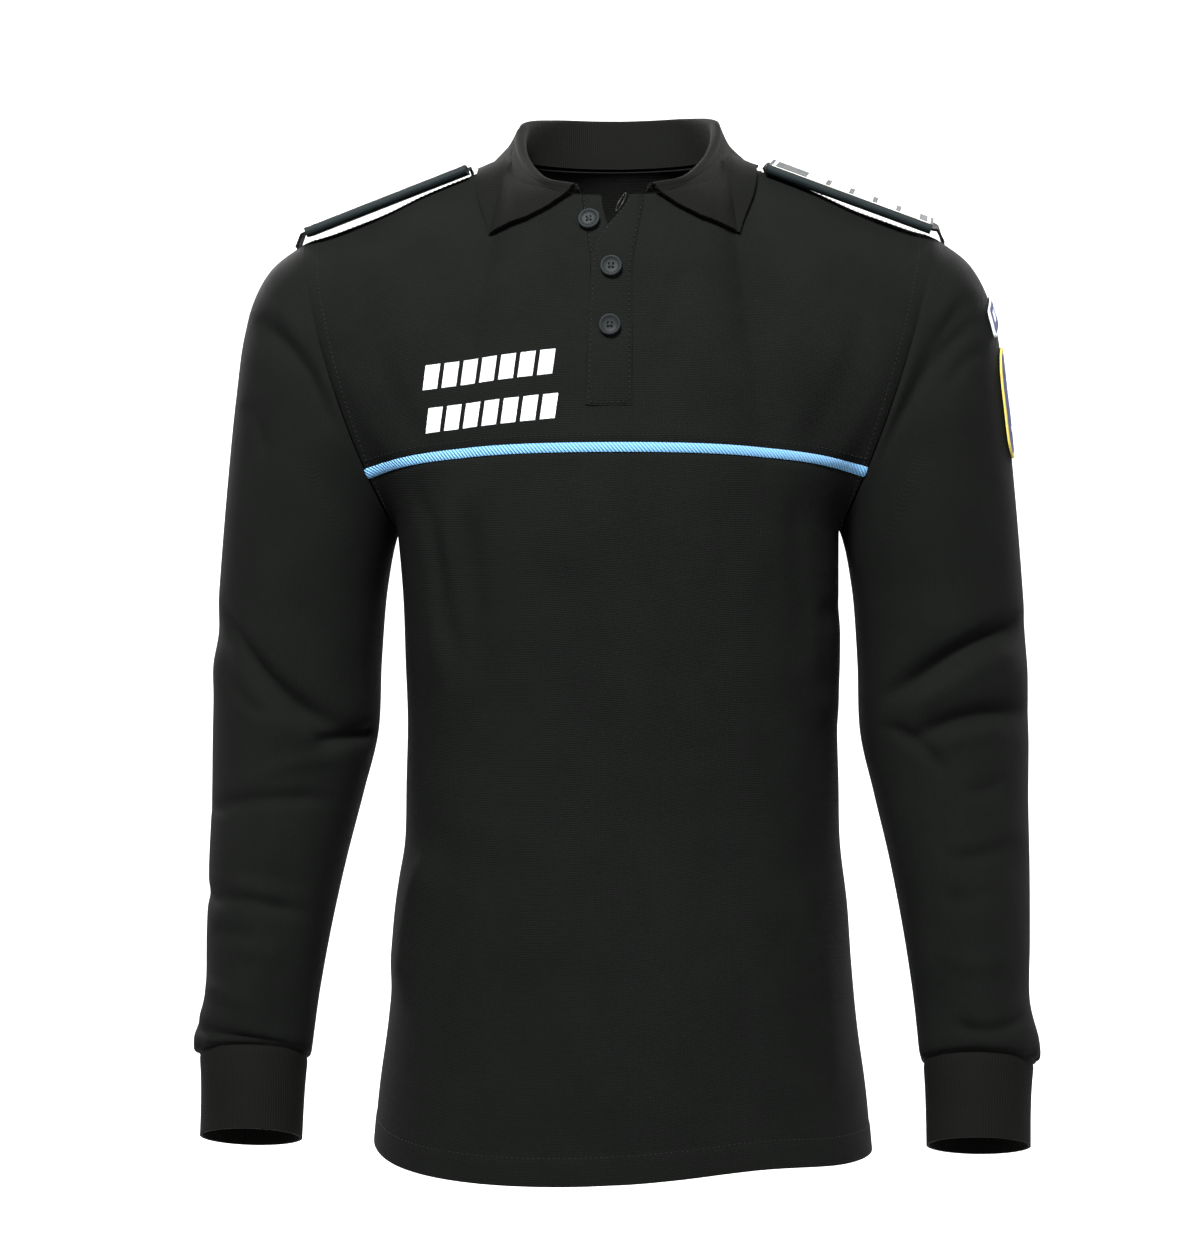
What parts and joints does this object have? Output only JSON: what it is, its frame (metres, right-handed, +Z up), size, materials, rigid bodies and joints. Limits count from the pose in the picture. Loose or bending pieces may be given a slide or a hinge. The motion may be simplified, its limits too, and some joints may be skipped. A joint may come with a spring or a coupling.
{
  "type": "long-sleeved police uniform polo shirt",
  "caption": "Black long-sleeved pique polo shirt of a police uniform, filled out as worn, with a pale blue chest band, rib cuffs, rank slides and sleeve patches.",
  "frame": {"origin": "middle of the neck, at the height where the shoulder seams meet the collar", "axes": "+Z up the body, -Y towards the front, +X towards the wearer's left"},
  "size_m": [0.5828, 0.2497, 0.7563],
  "materials": {
    "pique": "matt pique knit",
    "rib": "matt rib knit",
    "piping": "matt ribbed band",
    "strap": "matt woven cloth",
    "slide": "stiff embroidered cloth",
    "button": "glossy moulded plastic",
    "patch_tab": "embroidered cloth",
    "patch_badge": "embroidered cloth"
  },
  "bodies": {
    "root": {"front_yoke": "pique", "chest_piping": "piping", "front_lower": "pique", "back_panel": "pique", "sleeve_left": "pique", "sleeve_right": "pique", "cuff_left": "rib", "cuff_right": "rib", "collar": "rib", "placket_top": "pique", "placket_under": "pique", "button_top": "button", "button_middle": "button", "button_low": "button", "strap_left": "strap", "strap_right": "strap", "slide_left": "slide", "slide_right": "slide", "patch_tab": "patch_tab", "patch_badge": "patch_badge"}
  },
  "joints": []
}
